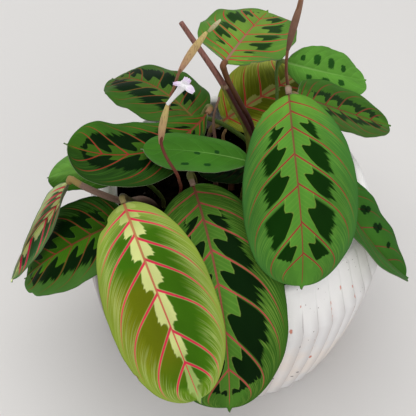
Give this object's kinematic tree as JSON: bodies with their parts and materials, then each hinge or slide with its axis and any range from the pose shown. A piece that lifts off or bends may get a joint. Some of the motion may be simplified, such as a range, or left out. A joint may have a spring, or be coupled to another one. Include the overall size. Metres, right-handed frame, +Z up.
{
  "type": "potted prayer plant",
  "caption": "Prayer plant (maranta) with patterned oval leaves on arching petioles and slim flower stalks, growing from soil in a pleated white-washed clay pot.",
  "frame": {"origin": "centre of the pot's flat foot, on the surface it stands on", "axes": "+Z up along the pot's axis, -Y towards the plant's front, +X to its right seen from the front"},
  "size_m": [0.2383, 0.2548, 0.2748],
  "materials": {
    "washed_clay": "matte",
    "soil": "matte",
    "leaf_green": "satin",
    "leaf_lime": "satin",
    "leaf_olive": "satin",
    "leaf_plain": "satin",
    "petiole": "satin",
    "cane": "satin",
    "red_stalk": "satin",
    "bract": "matte",
    "dry_sheath": "matte",
    "petal": "matte"
  },
  "bodies": {
    "root": {"pot": "washed_clay", "soil": "soil", "leaf_front_left": "leaf_lime", "petiole_front_left": "petiole", "leaf_front_centre": "leaf_green", "petiole_front_centre": "petiole", "leaf_front_right": "leaf_green", "petiole_front_right": "petiole", "leaf_right_low": "leaf_green", "petiole_right_low": "petiole", "leaf_left_low": "leaf_green", "petiole_left_low": "petiole", "leaf_left_edge": "leaf_lime", "petiole_left_edge": "petiole", "leaf_left_small": "leaf_plain", "petiole_left_small": "petiole", "leaf_left": "leaf_green", "petiole_left": "petiole", "leaf_back_left": "leaf_green", "petiole_back_left": "petiole", "leaf_centre_small": "leaf_plain", "petiole_centre_small": "petiole", "leaf_top": "leaf_green", "petiole_top": "petiole", "leaf_back_centre": "leaf_olive", "petiole_back_centre": "petiole", "leaf_back_right": "leaf_plain", "petiole_back_right": "petiole", "leaf_right": "leaf_green", "petiole_right": "petiole", "leaf_inner": "leaf_green", "petiole_inner": "petiole", "cut_cane": "cane", "flower_stalk": "red_stalk", "flower_scape": "red_stalk", "rolled_leaf": "cane", "dry_sheath": "dry_sheath", "pink_sheath": "cane", "bract_low": "bract", "bract_high": "bract", "bract_scape": "red_stalk", "flower": "petal", "flower_bud": "petal"}
  },
  "joints": []
}
